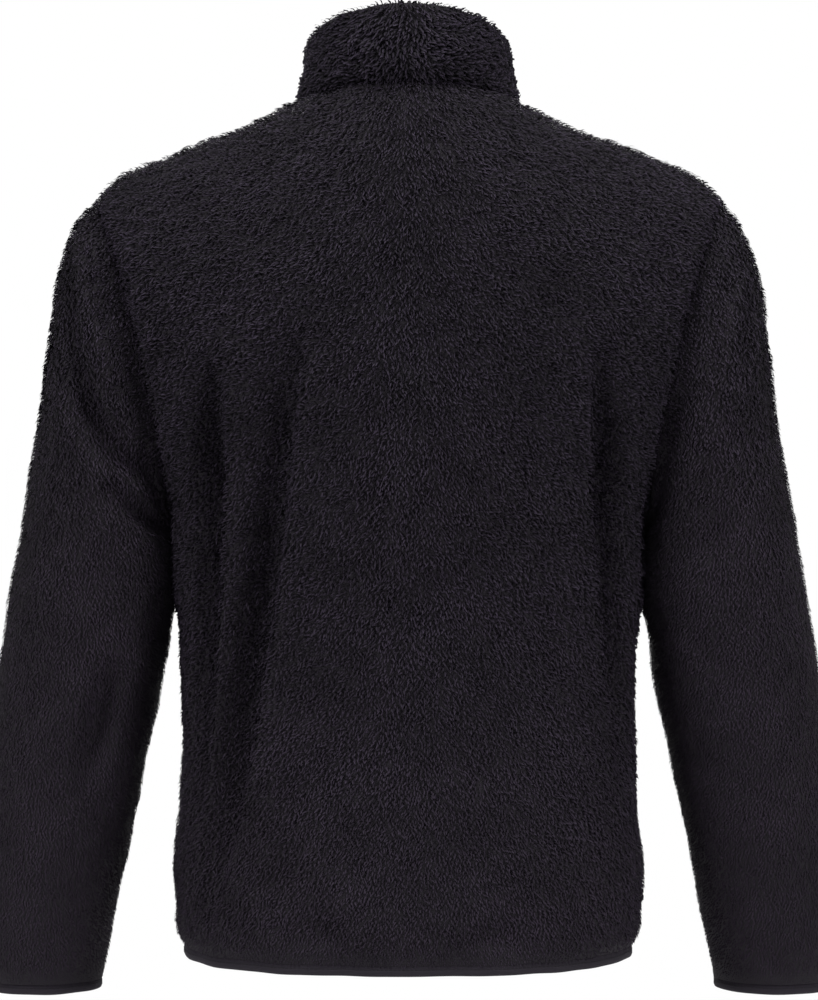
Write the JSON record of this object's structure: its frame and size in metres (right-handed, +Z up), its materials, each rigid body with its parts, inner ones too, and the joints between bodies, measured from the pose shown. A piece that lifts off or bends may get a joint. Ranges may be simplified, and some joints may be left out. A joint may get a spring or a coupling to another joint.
{
  "type": "deep-pile fleece jacket",
  "caption": "Hip-length deep-pile fleece jacket with a stand collar, full front zip, set-in long sleeves and narrow bound hem and cuffs, filled out as worn.",
  "frame": {"origin": "on the jacket's centreline, level with the points where the shoulder seams meet the collar", "axes": "+Z up along the body to the collar, -Y towards the front and its zip, +X towards the wearer's left sleeve"},
  "size_m": [0.6986, 0.2573, 0.7821],
  "materials": {
    "pile_fleece": "near-black deep-pile fleece, matt with a soft sheen at its tips",
    "stretch_binding": "black stretch knit binding",
    "zip_tape": "black woven tape",
    "zip_coil": "black nylon coil",
    "zip_metal": "black painted zinc, satin",
    "zip_box": "black moulded nylon"
  },
  "bodies": {
    "garment": {"back": "pile_fleece", "front_left": "pile_fleece", "front_right": "pile_fleece", "sleeve_left": "pile_fleece", "sleeve_right": "pile_fleece", "collar": "pile_fleece", "hem_binding": "stretch_binding", "cuff_binding_left": "stretch_binding", "cuff_binding_right": "stretch_binding", "zip_tape_left": "zip_tape", "zip_tape_right": "zip_tape", "zip_chain": "zip_coil", "zip_slider": "zip_metal", "zip_box": "zip_box"},
    "pull": {"zip_pull": "zip_metal"}
  },
  "joints": [
    {"name": "zip_pull_swing", "type": "hinge", "parent": "garment", "child": "pull", "pos_m": [0, -0.07821, 0.00864], "axis": [-1, 0, 0], "range_deg": [0, 150]}
  ]
}
